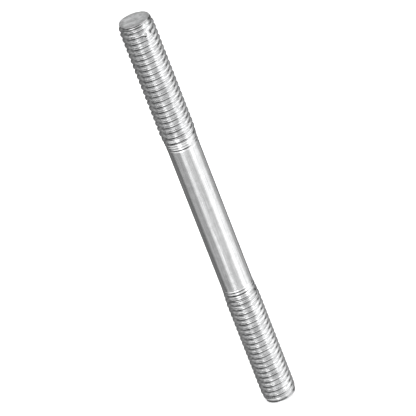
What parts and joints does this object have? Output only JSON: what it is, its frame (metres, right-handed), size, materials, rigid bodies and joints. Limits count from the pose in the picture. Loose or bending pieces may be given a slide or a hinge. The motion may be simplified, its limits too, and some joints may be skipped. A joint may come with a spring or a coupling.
{
  "type": "double ended stud",
  "caption": "Slim steel stud with a coarse metric thread rolled on both ends and a plain drawn shank between them, for clamping parts together with nuts.",
  "frame": {"origin": "centre of the lower end face, which the stud stands on", "axes": "+Z along the stud's axis, from the lower end to the upper end"},
  "size_m": [0.006, 0.006, 0.075],
  "materials": {
    "plated_steel": "bright zinc plate over drawn and thread-rolled steel"
  },
  "bodies": {
    "root": {"stud": "plated_steel"}
  },
  "joints": []
}
